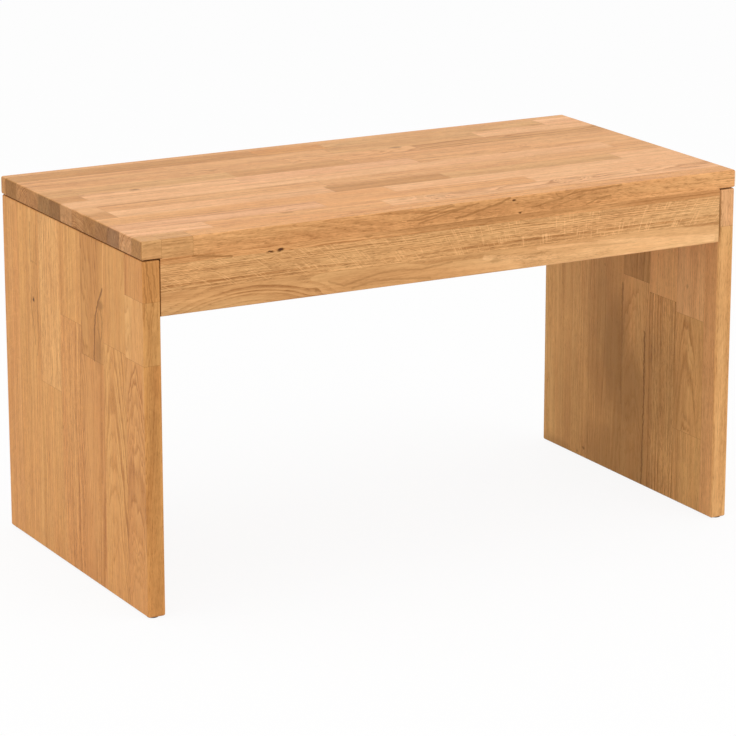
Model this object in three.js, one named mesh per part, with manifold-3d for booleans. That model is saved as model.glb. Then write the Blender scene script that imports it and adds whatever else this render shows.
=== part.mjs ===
import * as THREE from 'three';
import { RoundedBoxGeometry } from 'three/addons/geometries/RoundedBoxGeometry.js';
import { mergeVertices } from 'three/addons/utils/BufferGeometryUtils.js';
import Module from 'manifold-3d';

// A plain bench of stave-glued oak: a seat board on two full-depth side panels, with a front and a
// rear apron glued under the seat. Millimetres, +Z up. The origin is on the floor under the middle
// of the bench, X runs along the seat, and the front faces -Y.

// The five boards
const benchLength = 810;
const benchDepth = 405;
const benchHeight = 450;
const seatThickness = 22;
const sideThickness = 22;
const apronThickness = 22;
const apronHeight = 68;
const seatEndOverhang = 1;
const seatJointGap = 0.8;
const apronJointGap = 0.3;
const edgeRadius = 2.5;
const edgeSteps = 3;

// Cam fittings: a bolt screwed into one board's face, drawn up by a cam let into the other board
const boltAxisDepth = 11;
const camDistance = 34;
const camDiameter = 15;
const camLength = 14;
const camFaceRecess = 0.2;
const camChamfer = 0.6;
const clawDiameter = 8.6;
const driveSlotWidth = 1.4;
const driveSlotLength = 7;
const driveSlotDepth = 2.4;
const headDiameter = 6.4;
const headLength = 4.4;
const neckDiameter = 3.6;
const neckLength = 4;
const shankDiameter = 7;
const threadDiameter = 5;
const threadRootDiameter = 4;
const threadLength = 11;
const threadRidges = 4;
const threadPointLength = 1.2;
const boltBoreDiameter = 8;

// Beech dowels
const dowelDiameter = 8;
const dowelLength = 30;
const dowelFaceDepth = 11.5;
const dowelChamfer = 1;
const apronDowelSpacing = 40;
const apronSeatDowelShares = [-0.33, 0, 0.33];
const seatDowelShare = 0.15;
const seatCamShare = 0.3;

// Glides pushed into the side panels' lower edges
const glideDiameter = 14;
const glideProud = 1.5;
const glideSoleChamfer = 0.5;
const glideInset = 9.5;
const glideShankDiameter = 5;
const glideShankLength = 10;

// Working clearances, and how far a cutter runs past the face it starts from
const fitClearance = 0.3;
const boreEndClearance = 0.6;
const overrun = 5;
const roundSides = 16;
const slimSides = 12;

// Where the boards lie
const seatUnderside = benchHeight - seatThickness;
const sideOuterX = benchLength / 2 - seatEndOverhang;
const sideInnerX = sideOuterX - sideThickness;
const sideTop = seatUnderside - seatJointGap;
const sideHeight = sideTop - glideProud;
const apronLength = 2 * (sideInnerX - apronJointGap);
const apronMiddleY = benchDepth / 2 - apronThickness / 2;
const apronMiddleZ = seatUnderside - apronHeight / 2;

const oak = new THREE.MeshStandardMaterial({ color: 0xcf9a63, roughness: 0.55, metalness: 0 });
const beech = new THREE.MeshStandardMaterial({ color: 0xd9b88a, roughness: 0.7, metalness: 0 });
const zinc = new THREE.MeshStandardMaterial({ color: 0xb4b6b8, roughness: 0.45, metalness: 0.9 });
const steel = new THREE.MeshStandardMaterial({ color: 0xc6c3b4, roughness: 0.35, metalness: 1 });
const glidePlastic = new THREE.MeshStandardMaterial({ color: 0x4a3326, roughness: 0.6, metalness: 0 });

const wasm = await Module();
wasm.setup();

function toSolid(geometry) {
  const bare = geometry.clone();
  bare.deleteAttribute('normal');
  bare.deleteAttribute('uv');
  const merged = mergeVertices(bare);
  return new wasm.Manifold(new wasm.Mesh({
    numProp: 3,
    vertProperties: merged.attributes.position.array,
    triVerts: Uint32Array.from(merged.index.array),
  }));
}

function toGeometry(solid) {
  const mesh = solid.getMesh();
  const shared = new THREE.BufferGeometry();
  shared.setAttribute('position', new THREE.BufferAttribute(mesh.vertProperties, mesh.numProp));
  shared.setIndex(new THREE.BufferAttribute(mesh.triVerts, 1));
  const geometry = shared.toNonIndexed();
  geometry.computeVertexNormals();
  return geometry;
}

const bench = new THREE.Group();

// A board is placed by its middle. Bores are cut from it by cutters that stand in a joint's frame.
class Board {
  constructor(name, geometry, x, y, z) {
    this.mesh = new THREE.Mesh(geometry, oak);
    this.mesh.name = name;
    this.mesh.position.set(x, y, z);
    this.mesh.updateMatrixWorld();
    this.solid = toSolid(geometry);
    bench.add(this.mesh);
  }

  join(geometry) {
    this.solid = this.solid.add(toSolid(geometry));
  }

  bore(cutter, frame) {
    const place = this.mesh.matrixWorld.clone().invert().multiply(frame.matrixWorld);
    this.solid = this.solid.subtract(toSolid(cutter.clone().applyMatrix4(place)));
  }

  finish() {
    this.mesh.geometry = toGeometry(this.solid);
  }
}

// The seat board's edges are eased all round. The router stops where the aprons are glued on, so
// there the lower front and rear edges stay square and flush with the apron below.
function makeSeat() {
  const eased = new RoundedBoxGeometry(benchLength, benchDepth, seatThickness, edgeSteps, edgeRadius);
  const seat = new Board('seat_board', eased, 0, 0, seatUnderside + seatThickness / 2);
  for (const face of [-1, 1]) {
    const square = new THREE.BoxGeometry(apronLength, apronThickness, seatThickness / 2);
    square.translate(0, face * apronMiddleY, -seatThickness / 4);
    seat.join(square);
  }
  return seat;
}

function makeSide(name, side) {
  const eased = new RoundedBoxGeometry(sideThickness, benchDepth, sideHeight, edgeSteps, edgeRadius);
  return new Board(name, eased, side * (sideOuterX - sideThickness / 2), 0, sideTop - sideHeight / 2);
}

// An apron is square at its ends and at the glued top edge, and eased along its two lower edges.
function makeApron(name, face) {
  const y = apronThickness / 2;
  const z = apronHeight / 2;
  const section = new THREE.Shape();
  section.moveTo(-y, z);
  section.lineTo(-y, edgeRadius - z);
  section.absarc(edgeRadius - y, edgeRadius - z, edgeRadius, Math.PI, Math.PI * 1.5, false);
  section.lineTo(y - edgeRadius, -z);
  section.absarc(y - edgeRadius, edgeRadius - z, edgeRadius, Math.PI * 1.5, Math.PI * 2, false);
  section.lineTo(y, z);
  const geometry = new THREE.ExtrudeGeometry(section, {
    depth: apronLength,
    bevelEnabled: false,
    curveSegments: edgeSteps,
  });
  const alongX = new THREE.Matrix4().makeBasis(
    new THREE.Vector3(0, 1, 0),
    new THREE.Vector3(0, 0, 1),
    new THREE.Vector3(1, 0, 0),
  );
  geometry.applyMatrix4(alongX).translate(-apronLength / 2, 0, 0);
  return new Board(name, geometry, 0, face * apronMiddleY, apronMiddleZ);
}

const seat = makeSeat();
const sides = { left: makeSide('left_side_panel', -1), right: makeSide('right_side_panel', 1) };
const aprons = { front: makeApron('front_apron', -1), rear: makeApron('rear_apron', 1) };

// A joint's frame has its origin on the face of the board that is drilled there, +Z running out of
// that face into the other board, and +Y towards the side that the other board's cam is turned from.
function jointFrame(point, along, camSide) {
  const frame = new THREE.Group();
  const across = new THREE.Vector3().crossVectors(camSide, along);
  frame.quaternion.setFromRotationMatrix(new THREE.Matrix4().makeBasis(across, camSide, along));
  frame.position.copy(point);
  frame.updateMatrixWorld();
  bench.add(frame);
  return frame;
}

function addPiece(frame, name, geometry, material) {
  const piece = new THREE.Mesh(geometry, material);
  piece.name = name;
  frame.add(piece);
}

// A round bar or bore along +Z from one height to another
function roundBar(diameter, from, to, sides) {
  const bar = new THREE.CylinderGeometry(diameter / 2, diameter / 2, to - from, sides);
  return bar.rotateX(Math.PI / 2).translate(0, 0, (from + to) / 2);
}

// Turned pieces: a profile of [radius, height] pairs, spun about +Z
function turned(profile, sides) {
  const points = profile.map(([radius, height]) => new THREE.Vector2(radius, height));
  return new THREE.LatheGeometry(points, sides).rotateX(Math.PI / 2);
}

// The connecting bolt: a pointed thread of coarse ridges, a shank, a slim neck and a round head
// that ends at the middle of the cam.
function makeBolt(headMiddle) {
  const headBase = headMiddle - headLength / 2;
  const profile = [[0, -threadLength]];
  profile.push([threadRootDiameter / 4, -threadLength]);
  profile.push([threadRootDiameter / 2, threadPointLength - threadLength]);
  const pitch = (threadLength - 2 * threadPointLength) / threadRidges;
  for (let ridge = 0; ridge < threadRidges; ridge += 1) {
    const start = threadPointLength - threadLength + ridge * pitch;
    profile.push([threadDiameter / 2, start + pitch / 2]);
    profile.push([threadRootDiameter / 2, start + pitch]);
  }
  profile.push([threadRootDiameter / 2, 0]);
  profile.push([shankDiameter / 2, 0]);
  profile.push([shankDiameter / 2, headBase - neckLength]);
  profile.push([neckDiameter / 2, headBase - neckLength / 2]);
  profile.push([neckDiameter / 2, headBase]);
  profile.push([headDiameter / 2, headBase + headLength / 4]);
  profile.push([headDiameter / 2, headBase + headLength * 3 / 4]);
  profile.push([headDiameter / 4, headBase + headLength]);
  profile.push([0, headBase + headLength]);
  return turned(profile, slimSides);
}

// The cam: a turned drum with a cross slot in its face, hollowed below into a claw that is open
// towards the bolt's head.
function makeCam(camMiddle) {
  const radius = camDiameter / 2;
  const face = boltAxisDepth - camFaceRecess;
  const foot = face - camLength;
  const points = [
    new THREE.Vector2(0, foot),
    new THREE.Vector2(radius, foot),
    new THREE.Vector2(radius, face - camChamfer),
    new THREE.Vector2(radius - camChamfer, face),
    new THREE.Vector2(0, face),
  ];
  let cam = toSolid(new THREE.LatheGeometry(points, roundSides));
  const clawTop = headDiameter / 2 + fitClearance;
  const clawDepth = clawTop - foot + overrun;
  const claw = new THREE.CylinderGeometry(clawDiameter / 2, clawDiameter / 2, clawDepth, roundSides);
  cam = cam.subtract(toSolid(claw.translate(0, clawTop - clawDepth / 2, 0)));
  const mouthWidth = headDiameter + 2 * fitClearance;
  const mouth = new THREE.BoxGeometry(mouthWidth, clawDepth, radius + overrun);
  cam = cam.subtract(toSolid(mouth.translate(0, clawTop - clawDepth / 2, -(radius + overrun) / 2)));
  for (const turn of [1, -1]) {
    const slot = new THREE.BoxGeometry(driveSlotLength, 2 * driveSlotDepth, driveSlotWidth);
    cam = cam.subtract(toSolid(slot.rotateY(turn * Math.PI / 4).translate(0, face, 0)));
  }
  return toGeometry(cam).translate(0, 0, camMiddle);
}

// One cam fitting: the bolt screwed into the drilled board, the cam in the joined board's inner
// face, and the bores for both.
function addCamFitting(name, frame, drilled, joined, gap) {
  const camMiddle = gap + camDistance;
  addPiece(frame, `${name}_bolt`, makeBolt(camMiddle), steel);
  addPiece(frame, `${name}_cam`, makeCam(camMiddle), zinc);
  const threadBore = threadDiameter + 2 * fitClearance;
  drilled.bore(roundBar(threadBore, -threadLength - boreEndClearance, overrun, slimSides), frame);
  joined.bore(roundBar(boltBoreDiameter, gap - overrun, camMiddle, slimSides), frame);
  const housingDiameter = camDiameter + 2 * fitClearance;
  const housingFoot = boltAxisDepth - camFaceRecess - camLength - boreEndClearance;
  const housingTop = boltAxisDepth + overrun;
  const housing = new THREE.CylinderGeometry(
    housingDiameter / 2,
    housingDiameter / 2,
    housingTop - housingFoot,
    roundSides,
  );
  joined.bore(housing.translate(0, (housingTop + housingFoot) / 2, camMiddle), frame);
}

// One dowel: its short end in the drilled board's face and its long end in the joined board's edge.
function addDowel(name, frame, drilled, joined, gap) {
  const radius = dowelDiameter / 2;
  const low = -dowelFaceDepth;
  const high = dowelLength - dowelFaceDepth;
  const profile = [
    [0, low],
    [radius - dowelChamfer, low],
    [radius, low + dowelChamfer],
    [radius, high - dowelChamfer],
    [radius - dowelChamfer, high],
    [0, high],
  ];
  addPiece(frame, name, turned(profile, slimSides), beech);
  const bore = dowelDiameter + 2 * fitClearance;
  drilled.bore(roundBar(bore, low - boreEndClearance, overrun, slimSides), frame);
  joined.bore(roundBar(bore, gap - overrun, high + boreEndClearance, slimSides), frame);
}

const ends = [['left', -1], ['right', 1]];
const faces = [['front', -1], ['rear', 1]];
const down = new THREE.Vector3(0, 0, -1);

// Each apron end: a cam fitting at mid height between two dowels
for (const [endName, end] of ends) {
  for (const [faceName, face] of faces) {
    const inward = new THREE.Vector3(-end, 0, 0);
    const camSide = new THREE.Vector3(0, -face, 0);
    const y = face * (benchDepth / 2 - apronThickness + boltAxisDepth);
    const name = `${faceName}_apron_${endName}`;
    const point = new THREE.Vector3(end * sideInnerX, y, apronMiddleZ);
    addCamFitting(name, jointFrame(point, inward, camSide), sides[endName], aprons[faceName], apronJointGap);
    for (const [level, lift] of [['lower', -1], ['upper', 1]]) {
      const place = point.clone();
      place.z += lift * apronDowelSpacing / 2;
      const frame = jointFrame(place, inward, camSide);
      addDowel(`${name}_dowel_${level}`, frame, sides[endName], aprons[faceName], apronJointGap);
    }
  }
}

// Each side panel's upper edge: two cam fittings and two dowels up into the seat
for (const [endName, end] of ends) {
  const camSide = new THREE.Vector3(-end, 0, 0);
  const x = end * (sideInnerX + boltAxisDepth);
  for (const [faceName, face] of faces) {
    const name = `seat_${endName}_${faceName}`;
    const camPoint = new THREE.Vector3(x, face * seatCamShare * benchDepth, seatUnderside);
    addCamFitting(name, jointFrame(camPoint, down, camSide), seat, sides[endName], seatJointGap);
    const dowelPoint = new THREE.Vector3(x, face * seatDowelShare * benchDepth, seatUnderside);
    addDowel(`${name}_dowel`, jointFrame(dowelPoint, down, camSide), seat, sides[endName], seatJointGap);
  }
}

// Each apron's upper edge: three dowels up into the seat
for (const [faceName, face] of faces) {
  const camSide = new THREE.Vector3(0, -face, 0);
  apronSeatDowelShares.forEach((share, index) => {
    const point = new THREE.Vector3(share * apronLength, face * apronMiddleY, seatUnderside);
    const name = `seat_${faceName}_apron_dowel_${index + 1}`;
    addDowel(name, jointFrame(point, down, camSide), seat, aprons[faceName], 0);
  });
}

// A glide: a round sole with a softened rim, and a shank pushed into the panel's lower edge
function makeGlide() {
  const radius = glideDiameter / 2;
  const shank = glideShankDiameter / 2;
  const profile = [
    [0, 0],
    [radius - glideSoleChamfer, 0],
    [radius, glideSoleChamfer],
    [radius, glideProud],
    [shank, glideProud],
    [shank, glideProud + glideShankLength],
    [0, glideProud + glideShankLength],
  ];
  return turned(profile, roundSides);
}

for (const [endName, end] of ends) {
  for (const [faceName, face] of faces) {
    const x = end * (sideOuterX - glideInset);
    const y = face * (benchDepth / 2 - glideInset);
    const frame = jointFrame(new THREE.Vector3(x, y, 0), new THREE.Vector3(0, 0, 1), new THREE.Vector3(0, 1, 0));
    addPiece(frame, `glide_${endName}_${faceName}`, makeGlide(), glidePlastic);
    const bore = glideShankDiameter + 2 * fitClearance;
    const boreTop = glideProud + glideShankLength + boreEndClearance;
    sides[endName].bore(roundBar(bore, -overrun, boreTop, slimSides), frame);
  }
}

for (const board of [seat, sides.left, sides.right, aprons.front, aprons.rear]) {
  board.finish();
}

export default bench;
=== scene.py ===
import math
import random

import bmesh
import bpy
from mathutils import Matrix, Vector


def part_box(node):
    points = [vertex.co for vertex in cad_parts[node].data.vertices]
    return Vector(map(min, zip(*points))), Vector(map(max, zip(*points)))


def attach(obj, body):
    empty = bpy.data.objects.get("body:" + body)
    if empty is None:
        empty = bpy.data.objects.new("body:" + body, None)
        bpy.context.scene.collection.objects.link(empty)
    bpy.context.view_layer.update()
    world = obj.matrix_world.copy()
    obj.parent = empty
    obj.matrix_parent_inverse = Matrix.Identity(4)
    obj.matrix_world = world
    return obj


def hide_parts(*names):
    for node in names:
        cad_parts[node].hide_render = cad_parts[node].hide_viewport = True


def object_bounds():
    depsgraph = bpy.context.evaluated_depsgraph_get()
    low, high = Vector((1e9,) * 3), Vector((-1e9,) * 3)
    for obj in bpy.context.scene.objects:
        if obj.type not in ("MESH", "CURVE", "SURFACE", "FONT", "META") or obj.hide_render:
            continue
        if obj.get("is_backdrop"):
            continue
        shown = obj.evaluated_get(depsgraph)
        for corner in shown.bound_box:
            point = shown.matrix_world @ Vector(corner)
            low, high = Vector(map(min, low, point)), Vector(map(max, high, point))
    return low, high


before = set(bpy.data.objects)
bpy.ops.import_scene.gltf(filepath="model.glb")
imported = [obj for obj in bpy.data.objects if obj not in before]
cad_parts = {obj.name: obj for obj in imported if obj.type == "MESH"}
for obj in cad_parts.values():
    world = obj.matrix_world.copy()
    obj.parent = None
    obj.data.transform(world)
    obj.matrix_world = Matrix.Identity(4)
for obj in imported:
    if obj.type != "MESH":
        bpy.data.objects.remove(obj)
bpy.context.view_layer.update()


# The seat board. One stave-glued oak panel: strips of oak 33 mm wide and of all lengths, glued edge
# to edge and end to end, planed flat, eased along its edges with a router and oiled. It lies over
# the side panels and the aprons, and its end grain shows at both ends.

MM = 0.001
MM_PER_METRE = 1000
X, Y, Z = 0, 1, 2
edge_radius = 2.5 * MM
edge_steps = 6
smooth_angle = math.radians(30)
fit_clearance = 0.3 * MM
glide_bore = 5.6 * MM
bore_sides = 40
bore_overrun = 5 * MM
joint_overrun = 5 * MM
seat_stave_width = 33 * MM
seat_first_width = 15 * MM
stave_draws = random.Random(11)


def linear(red, green, blue):
    """An 8-bit screen colour as the shader wants it."""
    shares = [value / 255 for value in (red, green, blue)]
    return tuple(s / 12.92 if s <= 0.04045 else ((s + 0.055) / 1.055) ** 2.4 for s in shares)


oak_tones = {
    "cream": linear(234, 177, 128),
    "pale": linear(227, 171, 120),
    "pink": linear(222, 164, 116),
    "peach": linear(218, 160, 105),
    "apricot": linear(220, 159, 101),
    "straw": linear(211, 157, 101),
    "wheat": linear(221, 168, 109),
    "corn": linear(214, 156, 92),
    "honey": linear(210, 150, 84),
    "khaki": linear(211, 160, 96),
    "orange": linear(211, 149, 87),
    "tan": linear(205, 148, 91),
    "amber": linear(207, 145, 81),
    "brown": linear(197, 140, 82),
    "umber": linear(196, 136, 72),
    "maize": linear(222, 170, 107),
    "sand": linear(220, 164, 104),
    "moss": linear(190, 142, 80),
}

# How a stave was sawn from the log: its pith to the side and below or above, in millimetres, how far
# a ring climbs per millimetre of length, how wide a ring is, and how strongly rings, fibres, flecks
# and waves show
stave_cuts = {
    "straight": (84, 24, 0.003, 2.9, 0.6, 0.6, 0.3, 1),
    "lined": (70, 18, 0.004, 2.7, 1.1, 1.1, 0.2, 0.8),
    "striped": (70, 18, 0.004, 3.6, 2.3, 1.4, 0.2, 0.6),
    "quarter": (96, 13.5, 0.002, 2.2, 1.2, 1.1, 1, 0.9),
    "rift": (46, 36, 0.01, 2.7, 0.9, 0.6, 0.2, 1.3),
    "calm": (32, 42, 0.025, 2.6, 0.75, 0.22, 0, 2),
    "flat": (5, 40, 0.07, 2.3, 1, 0.5, 0, 1.6),
    "arched": (3, 150, 0.006, 2.3, 1.7, 0.4, 0, 0.4),
    "wavy": (14, 33, 0.03, 2.3, 1.3, 0.6, 0, 1.8),
    "edge": (58, 13.5, 0.03, 1.9, 0.7, 1, 0, 1),
}
ring_spread = 0.2
pith_spread = 0.25
stave_vectors = ("stave_middle", "stave_half", "stave_pith", "stave_rings", "stave_feel")


def stave(upto, tone, cut, end=0.62):
    """One strip: where it ends as a share of its row, its tone, its cut, and how much of its tone its
    end grain keeps."""
    side, below, climb, ring, rings, fibres, flecks, waves = stave_cuts[cut]
    side *= stave_draws.uniform(1 - pith_spread, 1 + pith_spread) * stave_draws.choice((-1, 1))
    below *= stave_draws.choice((-1, 1))
    ring *= stave_draws.uniform(1 - ring_spread, 1 + ring_spread)
    return {"upto": upto, "tone": oak_tones[tone], "pith": (side, below, climb), "rings": (ring, rings, end),
            "feel": (fibres, flecks, waves)}


# From the back edge to the front one, each row from the left end to the right one
seat_rows = [
    [stave(1, "peach", "straight", 0.76)],
    [stave(0.41, "brown", "straight", 0.6), stave(0.53, "orange", "rift"), stave(0.93, "straw", "wavy"),
     stave(1, "cream", "straight")],
    [stave(0.24, "peach", "rift", 0.7), stave(0.52, "peach", "straight"), stave(0.79, "straw", "straight"),
     stave(1, "pale", "straight")],
    [stave(0.43, "peach", "rift", 0.63), stave(0.655, "peach", "flat"), stave(1, "tan", "wavy")],
    [stave(0.05, "straw", "straight", 0.51), stave(0.31, "straw", "rift"), stave(0.51, "tan", "straight"),
     stave(1, "peach", "rift")],
    [stave(0.046, "tan", "straight", 0.47), stave(0.3, "pale", "rift"), stave(0.605, "pink", "straight"),
     stave(1, "peach", "wavy")],
    [stave(0.407, "pale", "straight", 0.66), stave(0.932, "pale", "rift"), stave(1, "peach", "rift")],
    [stave(0.037, "peach", "flat", 0.7), stave(0.4, "peach", "straight"), stave(1, "peach", "rift")],
    [stave(0.037, "tan", "rift", 0.64), stave(0.391, "pale", "rift"), stave(0.59, "brown", "straight"),
     stave(0.895, "straw", "straight"), stave(1, "pale", "straight")],
    [stave(0.47, "apricot", "rift", 0.5), stave(1, "pale", "straight")],
    [stave(0.333, "pink", "straight", 0.45), stave(0.69, "apricot", "rift"), stave(1, "pale", "straight")],
    [stave(0.13, "cream", "rift", 0.72), stave(0.42, "apricot", "rift"), stave(1, "pale", "wavy")],
    [stave(0.031, "straw", "rift", 0.64), stave(0.08, "straw", "rift"), stave(1, "apricot", "edge")],
]


def deselect():
    bpy.ops.object.select_all(action="DESELECT")


def block(name, low, high):
    """A box primitive between two corners, alone in the selection, with its place in its mesh."""
    deselect()
    bpy.ops.mesh.primitive_cube_add(size=1, location=(low + high) / 2)
    piece = bpy.context.object
    piece.name = piece.data.name = name
    piece.scale = high - low
    bpy.ops.object.transform_apply(location=True, rotation=True, scale=True)
    return piece


def alone(piece):
    deselect()
    piece.select_set(True)
    bpy.context.view_layer.objects.active = piece


def edit(piece):
    alone(piece)
    bpy.ops.object.mode_set(mode="EDIT")


def select_in_edit(piece, kind, wanted):
    """Selects the faces or edges that pass the test, and nothing else."""
    bpy.ops.mesh.select_mode(type=kind)
    bpy.ops.mesh.select_all(action="DESELECT")
    mesh = bmesh.from_edit_mesh(piece.data)
    for item in mesh.faces if kind == "FACE" else mesh.edges:
        if wanted(item):
            item.select_set(True)
    bmesh.update_edit_mesh(piece.data)


def cut_across(piece, axis, place, wanted):
    """Bisects the wanted faces by the plane that is square to an axis at a place."""
    select_in_edit(piece, "FACE", wanted)
    point = Vector((0, 0, 0))
    point[axis] = place
    normal = Vector((0, 0, 0))
    normal[axis] = 1
    bpy.ops.mesh.bisect(plane_co=point, plane_no=normal)


def ease_edges(piece, wanted):
    """Rounds the wanted edges over, as a router does."""
    select_in_edit(piece, "EDGE", wanted)
    bpy.ops.mesh.bevel(offset=edge_radius, segments=edge_steps, profile=0.5, affect="EDGES")


def apply_modifier(piece, kind, **settings):
    alone(piece)
    modifier = piece.modifiers.new(kind, kind)
    for name, value in settings.items():
        setattr(modifier, name, value)
    bpy.ops.object.modifier_apply(modifier=modifier.name)


def drill(board, low, high, axis, diameter):
    """Cuts a round bore along an axis, down the middle of the space between two corners."""
    turn = {X: (0, math.pi / 2, 0), Y: (math.pi / 2, 0, 0), Z: (0, 0, 0)}[axis]
    deselect()
    bpy.ops.mesh.primitive_cylinder_add(vertices=bore_sides, radius=diameter / 2,
                                        depth=high[axis] - low[axis],
                                        location=(low + high) / 2, rotation=turn)
    cutter = bpy.context.object
    apply_modifier(board, "BOOLEAN", operation="DIFFERENCE", solver="EXACT", object=cutter)
    bpy.data.objects.remove(cutter)


def drill_for_fittings(board, node):
    """The bores for all that enters a board. A cam's is open at the inner face."""
    board_low, board_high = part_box(node)
    for fitting in sorted(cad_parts):
        low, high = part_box(fitting)
        if any(low[i] > board_high[i] or high[i] < board_low[i] for i in (X, Y, Z)):
            continue
        size = list(high - low)
        if fitting.endswith("_cam"):
            axis = size.index(min(size))
            if low[axis] > 0:
                low[axis] = board_low[axis] - bore_overrun
            else:
                high[axis] = board_high[axis] + bore_overrun
            drill(board, low, high, axis, max(size) + 2 * fit_clearance)
        elif "_dowel" in fitting or fitting.endswith("_bolt"):
            axis = size.index(max(size))
            low[axis] -= 2 * fit_clearance
            high[axis] += 2 * fit_clearance
            drill(board, low, high, axis, min(size) + 2 * fit_clearance)
        elif fitting.startswith("glide_"):
            low[Z] -= bore_overrun
            high[Z] += 2 * fit_clearance
            drill(board, low, high, Z, glide_bore)


def row_edges(low, high, first_width, width):
    """Where the rows of staves meet, from one edge of a board to the other."""
    edges = [low, low + first_width]
    while edges[-1] + width < high - edge_radius:
        edges.append(edges[-1] + width)
    return edges + [high]


def lay_out(node, rows, along, across, first_width, width, along_from_high):
    """The staves of a board with the corners of each. Rows run from the board's high side across."""
    low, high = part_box(node)
    edges = [-place for place in row_edges(-high[across], -low[across], first_width, width)]
    staves = []
    for row, start, stop in zip(rows, edges, edges[1:]):
        begin = 0
        for strip in row:
            shares = sorted(1 - s if along_from_high else s for s in (begin, strip["upto"]))
            stave_low, stave_high = Vector(low), Vector(high)
            stave_low[along], stave_high[along] = (low[along] + s * (high - low)[along] for s in shares)
            stave_low[across], stave_high[across] = stop, start
            staves.append({"low": stave_low, "high": stave_high, **strip})
            begin = strip["upto"]
    return staves


def split_at_joints(board, node, staves, along, across):
    """Bisects a board's faces where its staves are glued side by side and end to end."""
    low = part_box(node)[0]
    edit(board)
    for place in sorted({s["low"][across] for s in staves if s["low"][across] > low[across]}):
        cut_across(board, across, place, lambda face: True)
    for strip in staves:
        if strip["low"][along] > low[along]:
            cut_across(board, along, strip["low"][along], lambda face: (
                strip["low"][across] - fit_clearance < face.calc_center_median()[across]
                < strip["high"][across] + fit_clearance))
    bpy.ops.object.mode_set(mode="OBJECT")


def past_joint(place, end, sign):
    """A stave's side, moved outwards where it is the board's own side, so that no glue line shows."""
    return place + sign * joint_overrun if abs(place - end) < joint_overrun else place


def name_staves(board, node, staves, along, across):
    """Writes each stave's facts on the faces that are cut from it."""
    low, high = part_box(node)
    for name in stave_vectors:
        board.data.attributes.new(name, "FLOAT_VECTOR", "FACE")
    board.data.attributes.new("stave_tone", "FLOAT_COLOR", "FACE")
    facts = board.data.attributes
    for face in board.data.polygons:
        strip = min(staves, key=lambda s: sum(
            max(s["low"][i] - face.center[i], face.center[i] - s["high"][i], 0) for i in (along, across)))
        stave_low, stave_high = strip["low"].copy(), strip["high"].copy()
        for i in (along, across):
            stave_low[i] = past_joint(stave_low[i], low[i], -1)
            stave_high[i] = past_joint(stave_high[i], high[i], 1)
        facts["stave_middle"].data[face.index].vector = (stave_low + stave_high) / 2
        facts["stave_half"].data[face.index].vector = (stave_high - stave_low) / 2
        facts["stave_pith"].data[face.index].vector = strip["pith"]
        facts["stave_rings"].data[face.index].vector = strip["rings"]
        facts["stave_feel"].data[face.index].vector = strip["feel"]
        facts["stave_tone"].data[face.index].color = (*strip["tone"], 1)


def smooth(piece):
    """Rounds shade smoothly and flats stay flat."""
    alone(piece)
    bpy.ops.object.shade_smooth_by_angle(angle=smooth_angle)
    apply_modifier(piece, "WEIGHTED_NORMAL", mode="FACE_AREA_WITH_ANGLE", keep_sharp=True)


def make_board(node, rows, along, across, first_width, width, eased, along_from_high, stops=()):
    """One stave-glued board: a block, cut square across its length at the stops, eased, split at its
    joints, drilled, and named stave by stave."""
    board = block(f"{node}_oak", *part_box(node))
    edit(board)
    for place in stops:
        cut_across(board, X, place, lambda face: True)
    ease_edges(board, eased)
    bpy.ops.object.mode_set(mode="OBJECT")
    staves = lay_out(node, rows, along, across, first_width, width, along_from_high)
    split_at_joints(board, node, staves, along, across)
    drill_for_fittings(board, node)
    name_staves(board, node, staves, along, across)
    smooth(board)
    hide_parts(node)
    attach(board, "root")
    return board


class Wire:
    """A shader socket that takes part in Python sums, each of which adds a Math node."""

    def __init__(self, finish, socket):
        self.finish = finish
        self.socket = socket

    def __add__(self, other):
        return self.finish.math("ADD", self, other)

    def __radd__(self, other):
        return self.finish.math("ADD", other, self)

    def __sub__(self, other):
        return self.finish.math("SUBTRACT", self, other)

    def __rsub__(self, other):
        return self.finish.math("SUBTRACT", other, self)

    def __mul__(self, other):
        return self.finish.math("MULTIPLY", self, other)

    def __rmul__(self, other):
        return self.finish.math("MULTIPLY", other, self)

    def __truediv__(self, other):
        return self.finish.math("DIVIDE", self, other)

    def __rtruediv__(self, other):
        return self.finish.math("DIVIDE", other, self)

    def __abs__(self):
        return self.finish.math("ABSOLUTE", self)


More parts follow.
